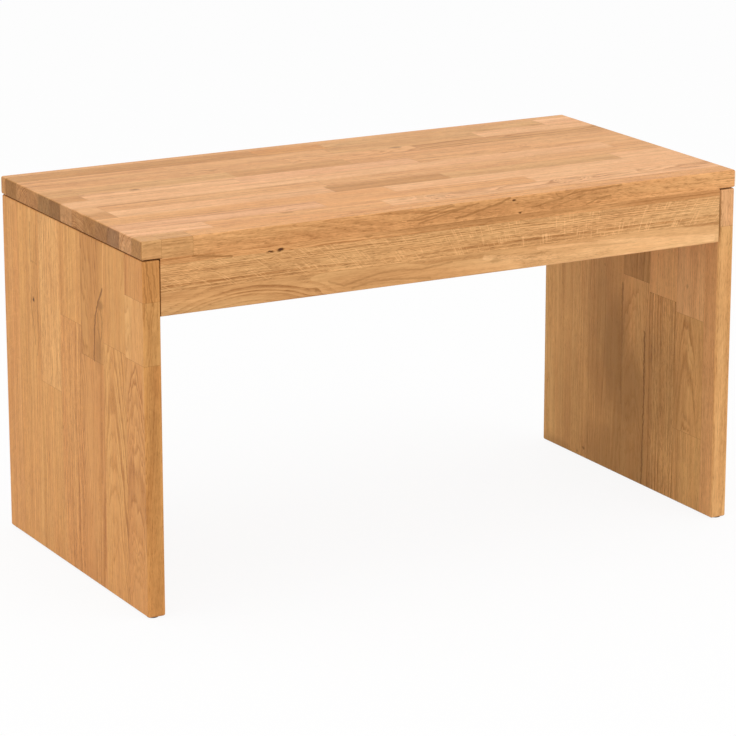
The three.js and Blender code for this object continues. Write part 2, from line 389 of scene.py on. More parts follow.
class Finish:
    """The nodes of a material or of the world, made one after the other from a few calls."""

    def __init__(self, holder):
        holder.use_nodes = True
        self.holder = holder
        self.tree = holder.node_tree

    def own(self, node, socket):
        """A socket of one of the nodes that a new material or world comes with."""
        return self.tree.nodes[node].inputs[socket]

    def plug(self, socket, value):
        if isinstance(value, Wire):
            self.tree.links.new(value.socket, socket)
        else:
            socket.default_value = value

    def node(self, kind, settings, sockets, output=0):
        """Adds any node: its type, its settings, and the values or links of its sockets."""
        node = self.tree.nodes.new("ShaderNode" + kind)
        for name, value in settings.items():
            if name == "stops":
                ramp = node.color_ramp
                while len(ramp.elements) < len(value):
                    ramp.elements.new(1)
                for element, (place, shade) in zip(ramp.elements, value):
                    element.position = place
                    element.color = (shade, shade, shade, 1)
            else:
                setattr(node, name, value)
        for name, value in sockets.items():
            self.plug(node.inputs[name], value)
        return Wire(self, node.outputs[output])

    def math(self, operation, *values):
        return self.node("Math", {"operation": operation}, dict(enumerate(values)))

    def vector_math(self, operation, *values, output="Vector"):
        return self.node("VectorMath", {"operation": operation}, dict(enumerate(values)), output)

    def scaled(self, vector, factor):
        return self.node("VectorMath", {"operation": "SCALE"}, {"Vector": vector, "Scale": factor})

    def parts(self, vector):
        return [self.node("SeparateXYZ", {}, {"Vector": vector}, axis) for axis in (X, Y, Z)]

    def fact(self, name):
        """The vector that an attribute of the mesh holds."""
        return self.node("Attribute", {"attribute_name": name}, {}, "Vector")

    def step(self, value, start, stop):
        """0 below start and 1 above stop, with a soft rise between."""
        return self.node("MapRange", {"interpolation_type": "SMOOTHSTEP"},
                         {"Value": value, "From Min": start, "From Max": stop})

    def mix(self, factor, first, second):
        """From the first colour to the second."""
        return self.node("Mix", {"data_type": "RGBA"}, {"Factor": factor, 6: first, 7: second}, 2)

    def tinted(self, colour, tint):
        return self.node("Mix", {"data_type": "RGBA", "blend_type": "MULTIPLY"},
                         {"Factor": 1, 6: colour, 7: (*tint, 1)}, 2)

    def place_in_mm(self):
        """The place in the solid, in millimetres of the bench's frame."""
        return self.scaled(self.node("TexCoord", {}, {}, "Object"), MM_PER_METRE)

    def bump(self, height, distance, strength):
        return self.node("Bump", {}, {"Height": height, "Distance": distance, "Strength": strength})

    def dress(self, sockets):
        """Sets or links sockets of the shader that a new material comes with."""
        for socket, value in sockets.items():
            self.plug(self.own("Principled BSDF", socket), value)

    def noise(self, vector, scale=1, detail=2, roughness=0.5, output="Fac"):
        return self.node("TexNoise", {}, {"Vector": vector, "Scale": scale, "Detail": detail,
                                          "Roughness": roughness}, output)


def mark(middle, reach, dark, bend=0, stroke=(0, 0, 0)):
    """A spot where the wood isn't plain, or a patch of painted shade, in millimetres of the bench's frame:
    its middle, its reach along X, Y and Z, how dark it is (pale below 0), how far the rings bend
    round it, and how far it is drawn out to either side of its middle."""
    return {"middle": middle, "reach": reach, "dark": dark, "bend": bend, "stroke": Vector(stroke)}


def drawn_line(points, reach, dark):
    """A dark line of grain through points, as a row of strokes."""
    strokes = []
    for start, stop in zip(points, points[1:]):
        first, last = Vector(start), Vector(stop)
        strokes.append(mark((first + last) / 2, reach, dark, 0, (last - first) / 2))
    return strokes


# A mark is full within the first share of its reach and gone past the second, and it bends the rings
# out to the third. Ragged outlines wander so many millimetres, in waves of about six
mark_full_share = 0.35
mark_gone_share = 1.1
bend_gone_share = 3.5
outline_wander = 5
outline_scale = 0.16

# What the oak's own tone is multiplied by
warm_patch = (1.02, 0.985, 0.94)
cool_patch = (0.985, 1.008, 0.99)
ring_line = (0.66, 0.55, 0.42)
ray_fleck = (1.15, 1.17, 1.19)
end_grain = (1, 0.93, 0.79)
# dark_mark colours knots and streaks, and the painted shade marks too
dark_mark = (0.33, 0.26, 0.1)
knot_heart = (0.12, 0.07, 0.03)
pale_mark = (1.34, 1.47, 1.75)

# How much the oiled faces shine, and how deep their pores and fibres look
oak_gloss = 0.2
grain_depth = 0.1 * MM

# Each stave's place shifts its noise and gives it a number of its own
noise_shift = 3.17
number_weights = (0.7, 1.3, 1.9)

# The shade of a ring from one early wood to the next
ring_stops = [(0, 0.55), (0.08, 1), (0.3, 0.6), (0.62, 0.12), (0.93, 0), (1, 0.55)]

# How rings wander: a wave's length, width, detail and height. Over the uneven length they drift apart
# and together by up to the uneven width. All lengths of the oak's figure are millimetres
ring_waves = [(240, 40, 2, 7), (70, 12, 2, 2.2), (18, 4, 1, 0.7)]
uneven_length = 8
uneven_width = 9

# How long and how wide the figures are that are drawn along the fibres
ring_fade = (300, 60)
ring_breaks = (32, 2.2)
pore_size = (6, 0.34)
fibre_size = (90, 1.4)
thread_size = (36, 0.8)
dash_size = (9, 0.8)
band_size = (420, 7)
patch_size = (170, 24)
mottle_size = (11, 3)
ray_cluster = (26, 14)

# A ray plate's size along, across and through a stave, and over what length it leans the other way
ray_long = 1.9
ray_wide = 22
ray_deep = 6
ray_lean = 0.5
ray_turn = 310

# How far from a joint its dark line is full and gone. Side joints are drawn half as wide as end joints
joint_full = 0.08
joint_gone = 0.6
side_joint_factor = 2


class OiledOak(Finish):
    """Oak drawn in the solid: each stave is cut from growth rings round a pith of its own, so that
    faces, edges and end grain agree. Places are millimetres from the stave's middle: along the
    fibres, across them in the board's plane, and through the board."""

    def __init__(self, name, along, across, through):
        super().__init__(bpy.data.materials.new(name))
        self.place = self.place_in_mm()
        middle = self.scaled(self.fact("stave_middle"), MM_PER_METRE)
        half = self.parts(self.scaled(self.fact("stave_half"), MM_PER_METRE))
        local = self.parts(self.vector_math("SUBTRACT", self.place, middle))
        normal = self.parts(self.node("TexCoord", {}, {}, "Normal"))
        self.length, self.width, self.depth = local[along], local[across], local[through]
        self.half_length, self.half_width = half[along], half[across]
        self.facing_end, self.facing_side, self.facing_out = (normal[i] for i in (along, across, through))
        self.pith_side, self.pith_below, self.climb = self.parts(self.fact("stave_pith"))
        self.ring_width, self.ring_strength, self.end_keeps = self.parts(self.fact("stave_rings"))
        self.fibre_strength, self.fleck_strength, self.wave_strength = self.parts(self.fact("stave_feel"))
        self.tone = self.node("Attribute", {"attribute_name": "stave_tone"}, {}, "Color")
        self.shift = self.scaled(middle, noise_shift)
        self.number = self.vector_math("DOT_PRODUCT", self.shift, number_weights, output="Value")

    def grain(self, long, wide, detail=2, roughness=0.5):
        """Noise drawn out along the fibres, different in each stave."""
        drawn = self.node("CombineXYZ", {}, {0: self.length / long, 1: self.width / wide,
                                             2: self.depth / wide})
        return self.noise(self.vector_math("ADD", drawn, self.shift), 1, detail, roughness)

    def marked(self, marks, line_wander):
        """How far the marks bend the rings at a place, how dark and pale they make the wood, and where they
        paint shade. Knots, streaks, smudges and painted shade have ragged outlines; drawn lines wander as
        told."""
        ragged = self.noise(self.place, outline_scale, output="Color")
        ragged = self.vector_math("SUBTRACT", ragged, (0.5, 0.5, 0.5))
        ragged_place = self.vector_math("ADD", self.place, self.scaled(ragged, outline_wander))
        line_place = self.vector_math("ADD", self.place, self.scaled(ragged, line_wander))
        bend, dark, pale = 0, 0, 0
        for spot in marks:
            stroke = spot["stroke"]
            seen_place = line_place if stroke.length else ragged_place if spot["dark"] else self.place
            away = self.vector_math("SUBTRACT", seen_place, spot["middle"])
            if stroke.length:
                toward = stroke / stroke.length_squared
                share = self.vector_math("DOT_PRODUCT", away, toward, output="Value")
                share = self.math("MAXIMUM", self.math("MINIMUM", share, 1), -1)
                away = self.vector_math("SUBTRACT", away, self.scaled(stroke, share))
            away = self.vector_math("DIVIDE", away, spot["reach"])
            away = self.vector_math("LENGTH", away, output="Value")
            inside = 1 - self.step(away, mark_full_share, mark_gone_share)
            if spot["bend"]:
                bend = bend + (1 - self.step(away, 0, bend_gone_share)) * spot["bend"]
            if spot["dark"] > 0:
                dark = self.math("MAXIMUM", dark, inside * spot["dark"])
            elif spot["dark"] < 0:
                pale = self.math("MAXIMUM", pale, inside * -spot["dark"])
        return bend, dark, pale

    def growth_rings(self, bend):
        """Rings, each a dark line of open early wood and then clear late wood. They wander a little,
        and each has its own width and darkness. Gives the early wood, how dark it is drawn, and how
        nearly a face follows the rings' radius."""
        side = self.width - self.pith_side
        below = self.depth - self.pith_below
        radius = self.math("SQRT", side * side + below * below)
        waves = sum((self.grain(long, wide, detail) - 0.5) * high for long, wide, detail, high in ring_waves)
        grown = radius + self.climb * self.length + waves * self.wave_strength + bend
        uneven = self.node("TexNoise", {"noise_dimensions": "1D"},
                           {"W": grown / uneven_length + self.number, "Scale": 1, "Detail": 1})
        rings = (grown + uneven * uneven_width) / self.ring_width
        count = self.math("FLOOR", rings)
        each = self.node("TexWhiteNoise", {"noise_dimensions": "1D"}, {"W": count + self.number})
        early = self.node("ValToRGB", {"stops": ring_stops}, {"Fac": rings - count})
        radial = abs(self.facing_out * side - self.facing_side * below) / radius
        shown = self.step(self.grain(*ring_fade), 0.25, 0.6)
        unbroken = 0.5 + self.step(self.grain(*ring_breaks, 1), 0.3, 0.6) * 0.5
        shade = early * self.ring_strength * (0.35 + each * 1.1) * shown
        return early, shade * (0.7 + radial * 0.3) * unbroken, radial

    def ray_flecks(self, radial):
        """Medullary rays: thin plates across the fibres, that lean one way and then the other. They
        flash where a face follows the rings' radius."""
        leaning = self.width * (ray_lean - self.length / ray_turn)
        plates = self.node("CombineXYZ", {}, {0: (self.length + leaning) / ray_long, 1: self.width / ray_wide,
                                              2: self.depth / ray_deep})
        rays = self.step(self.noise(self.vector_math("ADD", plates, self.shift), 1, 0), 0.6, 0.7)
        rays = rays * self.step(self.grain(*ray_cluster, 1), 0.36, 0.52)
        return rays * self.step(radial, 0.8, 0.99) * self.fleck_strength

    def glue_lines(self):
        """1 where a stave meets the next one."""
        to_end = self.half_length - abs(self.length)
        to_side = self.half_width - abs(self.width)
        nearest = self.math("MINIMUM", to_end, to_side * side_joint_factor)
        return 1 - self.step(nearest, joint_full, joint_gone)


def oiled_oak(name, along, across, through, marks, line_wander):
    """Oiled oak for the boards whose fibres run along one axis, with those boards' marks."""
    oak = OiledOak(name, along, across, through)
    bend, dark, pale = oak.marked(marks, line_wander)
    early, ring_shade, radial = oak.growth_rings(bend)
    flecks = oak.ray_flecks(radial)
    joint = oak.glue_lines()
    end = oak.step(abs(oak.facing_end), 0.5, 0.95)

    # Pores run along the early wood as fine dashes, and fibres and broad bands along everything
    pores = oak.step(oak.grain(*pore_size, 1), 0.56, 0.68) * oak.step(early, 0.2, 0.8)
    fibres = oak.grain(*fibre_size, 3, 0.65)
    threads = oak.grain(*thread_size)
    dashes = oak.step(oak.grain(*dash_size, 1), 0.55, 0.64)
    bands = oak.grain(*band_size)
    patches = oak.grain(*patch_size)
    mottle = oak.grain(*mottle_size)
    blotches = oak.noise(oak.place, 0.2, 3, 0.6)

    warm = oak.tinted(oak.tone, warm_patch)
    cool = oak.tinted(oak.tone, cool_patch)
    body = oak.mix(oak.step(patches, 0.32, 0.68), warm, cool)
    ringed = oak.mix(ring_shade * (1 + end * 0.6), body, oak.tinted(oak.tone, ring_line))
    with_rays = oak.mix(flecks * 0.65, ringed, oak.tinted(oak.tone, ray_fleck))
    streaks = (fibres - 0.5) * 0.8 + (threads - 0.5) * 0.5 - dashes * 0.26 + 0.08
    streaks = streaks * oak.fibre_strength + (bands - 0.5) * 0.3 + (mottle - 0.5) * 0.18
    clouds = (patches - 0.5) * 0.3 + (oak.noise(oak.place, 0.04, 2) - 0.5) * 0.15
    light = (1 + streaks + clouds) * (1 - pores * 0.35) * (1 - joint * 0.2)
    at_end = 1 - end * (1 - oak.end_keeps * (0.55 + blotches * 0.8))
    # Darker wood is also warmer
    shade = oak.node("CombineXYZ", {}, {0: light, 1: oak.math("POWER", light, 1.2),
                                        2: oak.math("POWER", light, 1.5)})
    surface = oak.scaled(oak.vector_math("MULTIPLY", with_rays, shade), at_end)
    surface = oak.mix(end, surface, oak.tinted(surface, end_grain))
    # The marks darken the oak: knots, streaks and lines in the wood, and patches of painted shade
    surface = oak.mix(dark, surface, oak.tinted(oak.tone, dark_mark))
    surface = oak.mix(oak.step(dark, 0.75, 0.95), surface, oak.tinted(oak.tone, knot_heart))
    surface = oak.mix(pale, surface, oak.tinted(surface, pale_mark))
    height = fibres * 0.25 - early * 0.35 - pores * 0.8 - joint * 0.5
    oak.dress({
        "Base Color": surface,
        "Roughness": 0.5 + early * 0.08 + end * 0.14 - flecks * 0.08,
        "Specular IOR Level": oak_gloss,
        "Normal": oak.bump(height, grain_depth, 0.6),
    })
    return oak.holder


seat_low, seat_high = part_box("seat_board")
apron_low, apron_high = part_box("front_apron")


def outer_sides(edge, low, high):
    """An edge's middle, and on how many outer sides of a board it lies: 2 for the block's own edges."""
    middle = (edge.verts[0].co + edge.verts[1].co) / 2
    away = [min(abs(middle[i] - low[i]), abs(middle[i] - high[i])) for i in (X, Y, Z)]
    return middle, sum(distance < fit_clearance for distance in away)


def eased_on_seat(edge):
    """Every outer edge, but not the lower ones that the aprons are glued to."""
    middle, sides = outer_sides(edge, seat_low, seat_high)
    on_long_side = abs(middle.x) < apron_high.x
    return sides == 2 and not (on_long_side and middle.z < seat_low.z + edge_radius)


# Marks are placed in millimetres. Those on the front lie just before it and reach a little way in.
# Tints lie further out and fade soon below the surface
mark_gap = 0.5
tint_gap = 5
seat_top = seat_high.z * MM_PER_METRE
seat_heart = (seat_low.z + seat_high.z) / 2 * MM_PER_METRE
front_edge = seat_low.y * MM_PER_METRE
front_face = front_edge - mark_gap
front_tints = front_edge - tint_gap
knot_reach = 60
top_reach = 8
edge_reach = 4
tint_reach = 8


def seat_knot(x, y, radius, dark):
    """A knot straight through the seat, long along the grain."""
    return mark((x, y, seat_heart), (1.7 * radius, radius, knot_reach), dark, 1.5 * radius)


def seat_streak(x, y, long, wide, dark):
    """A streak on the seat's top, a few millimetres deep."""
    return mark((x, y, seat_top), (long, wide, top_reach), dark)


def edge_line(points, thick, dark):
    """A dark line on the seat's front edge, through points given by their X and Z."""
    return drawn_line([(x, front_face, z) for x, z in points], (thick, edge_reach, thick), dark)


def front_tint(x, z, wide, tall, dark):
    """A wide darker patch on the bench's front. On the seat's front edge it is painted shade."""
    return mark((x, front_tints, z), (wide, tint_reach, tall), dark)


seat_marks = [
    seat_knot(-295, 51, 5, 0.75), seat_knot(-195, 102, 4, 0.3), seat_knot(-163, 105, 4, 0.3),
    seat_streak(103, 119, 11, 5, 0.7), seat_knot(-192, -148, 6, 0.3), seat_knot(0, -150, 5, 0.35),
    seat_knot(11, -157, 5, 0.35), seat_knot(200, -148, 6, 0.35), seat_knot(250, 42, 6, 0.3),
    seat_streak(-150, 17, 78, 5, -0.25), seat_streak(-353, -168, 58, 5, -0.25),
    seat_streak(-269, -106, 130, 3, 0.35), seat_streak(-315, -14, 75, 4, 0.25),
    seat_streak(-120, -15, 36, 4, 0.25), seat_streak(-260, -38, 90, 3, 0.18),
    seat_streak(165, 37, 22, 3.5, 0.3), seat_streak(185, 44, 14, 3, 0.25),
    seat_streak(320, 35, 32, 3.5, 0.25), seat_streak(110, 42, 14, 3, 0.3),
    seat_streak(53, 170, 18, 4, 0.25), seat_streak(265, 107, 22, 5, 0.25),
    seat_streak(250, 162, 16, 3, 0.2), seat_streak(20, -12, 45, 5, 0.15),
    seat_streak(180, -25, 16, 5, 0.15),
    mark((85, front_face, 446), (4, edge_reach, 1.8), 0.9),
    mark((93, front_face, 430), (4, edge_reach, 1.8), 0.9),
    # The two wide front tints paint shade on the seat's front edge, as if less light fell on it
    front_tint(-60, seat_heart, 640, 40, 0.34), front_tint(130, seat_heart, 190, 40, 0.42),
    *edge_line([(-61, 436.5), (-38, 436.5), (-8, 442), (36, 447)], 1.6, 0.57),
    *edge_line([(-45, 432), (-27, 435), (0, 441), (18, 444)], 1.7, 0.57),
    *edge_line([(-52, 438.5), (-37, 441), (2, 448)], 1.5, 0.5),
    *edge_line([(-42, 444.5), (0, 449.5)], 1.6, 0.5),
    *edge_line([(5, 432.5), (22, 434.5), (43, 439.5), (64, 444), (80, 449.5)], 1.9, 0.6),
    *edge_line([(110, 434), (130, 437.5), (150, 440.5), (168, 446), (237, 448.5)], 1.6, 0.56),
    *edge_line([(144, 448), (146, 444.5), (153, 442.5)], 1.5, 0.55),
    *edge_line([(187, 429.5), (203, 435), (222, 437)], 1.6, 0.55),
    *edge_line([(137, 430.5), (166, 437.5), (185, 442)], 1.5, 0.5),
]
seat = make_board("seat_board", seat_rows, X, Y, seat_first_width, seat_stave_width, eased_on_seat,
                  along_from_high=False, stops=(apron_low.x, apron_high.x))
seat.data.materials.append(oiled_oak("oiled_oak_seat", X, Y, Z, seat_marks, line_wander=2))


# The two side panels. Slab legs of the same oak, but of wider staves that stand upright. Each is
# eased all round and drawn up against the seat, with a shadow gap of less than a millimetre.

panel_stave_width = 61.5 * MM
left_first_width = 47 * MM
right_first_width = 8.5 * MM
# Panel end grain keeps less of its tone: partly darker end grain, partly painted shade in the groove under
# the seat and along the bottom edges
panel_end_keeps_and_shade = 0.4
left_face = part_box("left_side_panel")[0].x * MM_PER_METRE
right_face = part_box("right_side_panel")[0].x * MM_PER_METRE
face_reach = 12


def upright(upto, tone, cut):
    """A strip of a side panel: where it ends as a share of its column, its tone and its cut."""
    return stave(upto, tone, cut, panel_end_keeps_and_shade)


# From the back edge to the front one, each column from the top down
left_columns = [
    [upright(1, "amber", "straight")],
    [upright(1, "honey", "rift")],
    [upright(0.495, "corn", "lined"), upright(1, "honey", "rift")],
    [upright(0.267, "honey", "straight"), upright(1, "amber", "lined")],
    [upright(0.347, "umber", "calm"), upright(1, "amber", "calm")],
    [upright(0.283, "honey", "calm"), upright(1, "honey", "flat")],
    [upright(0.115, "amber", "calm"), upright(0.29, "corn", "calm"), upright(1, "amber", "flat")],
]
# The right panel's tones are yellower than the left's: painted light, the colour of the shaded light on its
# inner face
right_columns = [
    [upright(1, "khaki", "straight")],
    [upright(1, "khaki", "calm")],
    [upright(1, "khaki", "rift")],
    [upright(1, "khaki", "calm")],
    [upright(0.357, "moss", "rift"), upright(1, "khaki", "flat")],
    [upright(0.383, "maize", "straight"), upright(1, "khaki", "striped")],
    [upright(0.412, "wheat", "rift"), upright(0.773, "khaki", "flat"), upright(1, "khaki", "rift")],
    [upright(0.111, "pale", "straight"), upright(1, "sand", "straight")],
]


def panel_spot(face, y, z, wide, tall, dark, bend=0):
    """A mark on a side panel's face, a few millimetres deep."""
    return mark((face, y, z), (face_reach, wide, tall), dark, bend)


def panel_line(face, points, thick, dark):
    """A dark line on a side panel's face, through points given by their Y and Z."""
    return drawn_line([(face, y, z) for y, z in points], (face_reach, thick, thick), dark)


panel_marks = [
    panel_spot(left_face, 112, 314, 4.5, 5, 0.9, 6), panel_spot(left_face, 108, 338, 11, 70, 0.12),
    *panel_line(left_face, [(118, 408), (119, 386), (117, 362)], 1.6, 0.35),
    *panel_line(left_face, [(101, 408), (102, 386), (101, 360), (117, 361)], 1.6, 0.35),
    *panel_line(left_face, [(117, 328), (119, 306), (113, 280), (109, 258)], 1.7, 0.35),
    *panel_line(left_face, [(100, 330), (101, 300), (98, 270), (104, 246)], 1.7, 0.35),
    *panel_line(left_face, [(-90, 370), (-78, 352), (-69, 332), (-66, 312), (-64, 280)], 2.3, 0.74),
    *panel_line(left_face, [(-81, 348), (-87, 337), (-88, 322), (-83, 306)], 2.1, 0.4),
    *panel_line(left_face, [(-76, 338), (-77, 322), (-82, 304), (-81, 286)], 2, 0.4),
    panel_spot(left_face, -77, 290, 13, 26, 0.3), panel_spot(left_face, -84, 350, 10, 8, 0.45),
    panel_spot(left_face, -36, 205, 12, 34, 0, 12),
    panel_spot(right_face, 100, 15, 5, 4, 0.8, 5), panel_spot(right_face, 55, 278, 3, 3, 0.6, 3),
    panel_spot(right_face, -137, 290, 3, 4, 0.4, 3), panel_spot(right_face, 115, 7, 3, 3, 0.7),
    *panel_line(right_face, [(-42, 208), (-43, 120), (-41, 4)], 2.5, 0.8),
    # The wide dark patches on the right panel's inner face, from here to the front tints, are partly darker
    # wood and partly painted shade under the seat
    panel_spot(right_face, 52, 175, 62, 170, 0.34), panel_spot(right_face, 28, 165, 48, 115, 0.55),
    *panel_line(right_face, [(11.5, 262), (11.5, 100)], 2.6, 0.68),
    panel_spot(right_face, -10, 60, 70, 170, 0.42), panel_spot(right_face, 20, 20, 130, 70, 0.4),
    panel_spot(right_face, 120, 60, 80, 120, 0.14), panel_spot(right_face, 165, 0, 60, 20, 0.35),
    mark((380, -186, 200), (5, 22, 260), 0.12),
    panel_spot(right_face, -75, 140, 75, 110, 0.34), panel_spot(right_face, -5, 120, 60, 90, 0.54),
    front_tint(-393, 215, 16, 400, 0.3), front_tint(393, 215, 16, 230, 0.12),
    # Painted shade in the groove between the front apron's end and the right panel's eased front edge
    mark((383, -202, 394), (3.2, 3, 38), 0.75),
    mark((-396, front_edge, 400), (1.4, tint_reach, 1.4), 0.45, 0, (4, 0, -26)),
    mark((-390, front_edge, 404), (1.4, tint_reach, 1.4), 0.35, 0, (3, 0, -20)),
    mark((-400, front_edge, 372), (1.4, tint_reach, 1.4), 0.35, 0, (1.5, 0, -24)),
]
oak_upright = oiled_oak("oiled_oak_upright", Z, Y, X, panel_marks, line_wander=5)

for node, columns, first_width in (("left_side_panel", left_columns, left_first_width),
                                   ("right_side_panel", right_columns, right_first_width)):
    panel_low, panel_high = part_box(node)
    panel = make_board(node, columns, Z, Y, first_width, panel_stave_width,
                       lambda edge: outer_sides(edge, panel_low, panel_high)[1] == 2,
                       along_from_high=True)
    panel.data.materials.append(oak_upright)


# The two aprons. Shallow boards glued under the seat, flush with its long edges, square at their
# ends and eased along their lower edges only. The rear one is like the front one.

apron_first_width = 8 * MM
apron_rows = {
    "front_apron": [
        [stave(1, "apricot", "rift")],
        [stave(1, "straw", "quarter")],
        [stave(1, "straw", "arched")],
    ],
    "rear_apron": [
        [stave(0.7, "tan", "straight"), stave(1, "straw", "rift")],
        [stave(0.3, "peach", "straight"), stave(1, "tan", "flat")],
        [stave(0.55, "straw", "rift"), stave(1, "orange", "straight")],
    ],
}
rear_face = seat_high.y * MM_PER_METRE + mark_gap


def apron_spot(x, z, long, tall, dark, bend=0, face=front_face):
    """A mark on an apron's face, a few millimetres deep."""
    return mark((x, face, z), (long, face_reach, tall), dark, bend)


def apron_streak(x, z, long, tall, dark, half_length, half_drop):
    """A mark on the front apron's face, drawn out to either side of its middle."""
    return mark((x, front_face, z), (long, face_reach, tall), dark, 0, (half_length, 0, -half_drop))


def apron_line(points, thick, dark):
    """A dark line on the front apron's face, through points given by their X and Z."""
    return drawn_line([(x, front_face, z) for x, z in points], (thick, face_reach, thick), dark)


apron_marks = [
    apron_spot(-324, 424, 22, 3.6, 0.45), apron_streak(-316, 423.5, 3, 1.5, 0.65, 24, 3),
    apron_spot(-350, 424, 60, 5, 0.15),
    apron_spot(-242, 420, 6.5, 1.5, 0.95), apron_spot(-229, 421, 6.5, 2.2, 1, 3),
    apron_spot(-113, 424, 9, 2.4, 0.45), apron_spot(60, 425, 210, 6, 0.4),
    apron_spot(10, 426.5, 130, 1.3, 0.5), apron_spot(70, 422.5, 160, 1.2, 0.45),
    apron_spot(290, 424, 130, 6, 0.36), apron_spot(-175, 424, 60, 5, 0.15),
    apron_spot(-182, 367, 3.5, 3, 0.4, 1), apron_spot(60, 375, 11, 4, 0.35),
    apron_spot(123, 377, 18, 1.8, 0.4), apron_spot(108, 373, 12, 1.5, 0.35),
    apron_spot(-275, 349, 46, 14, 0, 16),
    *apron_line([(-166, 376), (-146, 368), (-124, 373), (-100, 378), (-72, 379), (-42, 376), (0, 380)],
                1.6, 0.3),
    *apron_line([(-135, 364), (-105, 370), (-72, 368), (-30, 364)], 1.7, 0.26),
    apron_spot(250, 371, 280, 22, -0.55), apron_spot(270, 369, 180, 15, -0.8),
    apron_streak(290, 375, 4, 4, -1.15, 84, 6), apron_streak(325, 369, 5, 4.5, -1.3, 48, 3),
    apron_streak(95, 374, 4, 4, -0.8, 50, 6), apron_streak(180, 381, 4, 3, -0.8, 60, 2),
    apron_spot(240, 404, 220, 20, -0.25), apron_spot(130, 380, 6, 4, 0.4, 7, rear_face),
]
oak_on_edge = oiled_oak("oiled_oak_on_edge", X, Z, Y, apron_marks, line_wander=2)

for node, rows in apron_rows.items():
    low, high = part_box(node)

    def eased_on_apron(edge):
        middle, sides = outer_sides(edge, low, high)
        return sides == 2 and middle.z < low.z + edge_radius and abs(middle.x) < edge_radius

    apron = make_board(node, rows, X, Z, apron_first_width, seat_stave_width, eased_on_apron,
                       along_from_high=False)
    apron.data.materials.append(oak_on_edge)


# The dowels. Fluted beech pins, 8 mm thick and 30 mm long, turned, chamfered at both ends and glued
# half into each board: two at each apron end, two on each side panel and three along each apron.

turned_sides = 36
flutes_apart = 3
flute_rim = 0.12 * MM
flute_depth = 0.2 * MM
# In millimetres, as are all profiles of turned shapes
dowel_radius = 4
dowel_half = 15
dowel_chamfer = 1
beech_tone = linear(222, 190, 148)
beech_stretch = 0.15


def turned(name, profile):
    """A turned shape: a disc drawn out along Z through the radii and heights of its profile, in
    millimetres. Its ends are flat, and it is a closed shell."""
    deselect()
    radius, height = profile[0]
    bpy.ops.mesh.primitive_circle_add(vertices=turned_sides, radius=radius * MM, fill_type="NGON",
                                      location=(0, 0, height * MM))
    piece = bpy.context.object
    piece.name = piece.data.name = name
    bpy.ops.object.transform_apply(location=True, rotation=True, scale=True)
    edit(piece)
    bpy.ops.mesh.select_all(action="SELECT")
    for next_radius, next_height in profile[1:]:
        bpy.ops.mesh.extrude_region_move(
            TRANSFORM_OT_translate={"value": (0, 0, (next_height - height) * MM)})
        ratio = next_radius / radius
        bpy.ops.transform.resize(value=(ratio, ratio, 1), center_override=(0, 0, next_height * MM))
        radius, height = next_radius, next_height
    bpy.ops.mesh.select_all(action="SELECT")
    bpy.ops.mesh.normals_make_consistent(inside=False)
    bpy.ops.object.mode_set(mode="OBJECT")
    return piece


def put(model, name, node, middle, sideways, forward):
    """A copy of a small part, with its middle at a point and its Y and Z axes turned as given."""
    turn = Matrix((sideways.cross(forward), sideways, forward)).transposed().to_4x4()
    piece = model.copy()
    piece.data = model.data.copy()
    piece.data.transform(Matrix.Translation(middle) @ turn)
    piece.name = piece.data.name = name
    bpy.context.collection.objects.link(piece)
    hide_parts(node)
    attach(piece, "root")


def long_axis(node):
    low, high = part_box(node)
    return max((X, Y, Z), key=lambda i: (high - low)[i])


def unit(axis, sign=1):
    direction = Vector((0, 0, 0))
    direction[axis] = sign
    return direction


def turned_beech(name, along):
    """Bare beech: pale and even, with short dark flecks along the grain."""
    beech = Finish(bpy.data.materials.new(name))
    stretch = Vector((1, 1, 1))
    stretch[along] = beech_stretch
    drawn = beech.vector_math("MULTIPLY", beech.place_in_mm(), stretch)
    short_flecks = beech.step(beech.noise(drawn, 1.6, 1), 0.6, 0.7)
    shade = 0.9 + beech.noise(drawn, 0.5, 3) * 0.2 - short_flecks * 0.18
    beech.dress({
        "Base Color": beech.scaled(beech_tone, shade),
        "Roughness": 0.62 + short_flecks * 0.1,
        "Normal": beech.bump(shade, grain_depth, 0.4),
    })
    return beech.holder


dowel = turned("dowel", [
    (dowel_radius - dowel_chamfer, -dowel_half), (dowel_radius, dowel_chamfer - dowel_half),
    (dowel_radius, dowel_half - dowel_chamfer), (dowel_radius - dowel_chamfer, dowel_half),
])
edit(dowel)
select_in_edit(dowel, "FACE", lambda face: (
    abs(face.normal.z) < 0.1 and
    round(math.atan2(face.normal.y, face.normal.x) / math.tau * turned_sides - 0.5) % flutes_apart == 0))
bpy.ops.mesh.inset(thickness=flute_rim, depth=-flute_depth, use_individual=True)
bpy.ops.object.mode_set(mode="OBJECT")
smooth(dowel)
dowel.data.materials.append(None)
beech_finishes = {X: turned_beech("turned_beech_lying", X), Z: turned_beech("turned_beech_upright", Z)}
for node in sorted(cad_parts):
    if "_dowel" in node:
        low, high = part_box(node)
        axis = long_axis(node)
        dowel.data.materials[0] = beech_finishes[axis]
        put(dowel, f"{node}_fluted", node, (low + high) / 2, unit(Y), unit(axis))
bpy.data.objects.remove(dowel)


# The cam fittings. A zinc-plated steel bolt is screwed into one board, and a die-cast zinc cam, let
# into the inner face of the other, is turned with a screwdriver to draw the bolt's head in.

